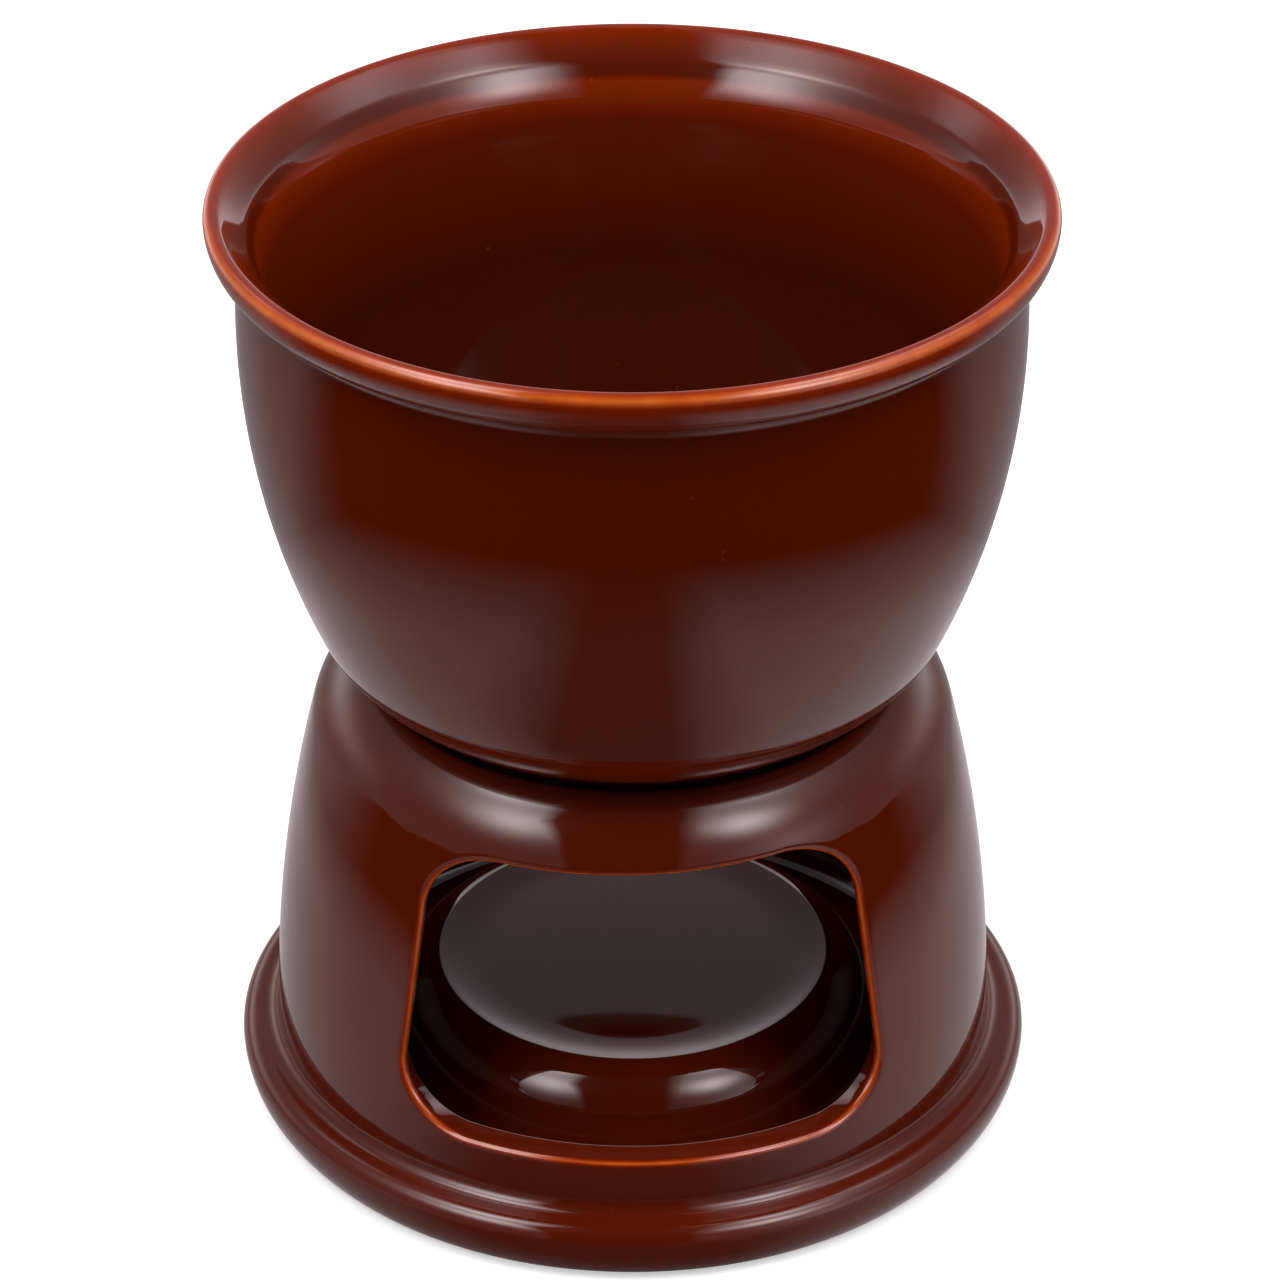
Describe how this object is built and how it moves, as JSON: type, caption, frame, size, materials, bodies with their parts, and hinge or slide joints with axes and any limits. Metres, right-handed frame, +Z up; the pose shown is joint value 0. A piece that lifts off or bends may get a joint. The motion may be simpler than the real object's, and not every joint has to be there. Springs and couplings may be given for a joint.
{
  "type": "ceramic fondue set",
  "caption": "Small glazed ceramic fondue set: a thick flared bowl seated in the mouth of a bell-shaped burner stand with a candle seat and open windows.",
  "frame": {"origin": "on the common axis of stand and bowl, in the plane of the stand's foot ring", "axes": "+Z up along the axis, -Y towards the front window, +X to the right seen from the front"},
  "size_m": [0.12, 0.12, 0.1451],
  "materials": {
    "bowl_glaze": "gloss brown glaze that breaks to amber on the rim",
    "stand_glaze": "gloss brown glaze that breaks to amber on the lip and window edges"
  },
  "bodies": {
    "root": {"fondue_bowl": "bowl_glaze", "burner_stand": "stand_glaze"}
  },
  "joints": []
}
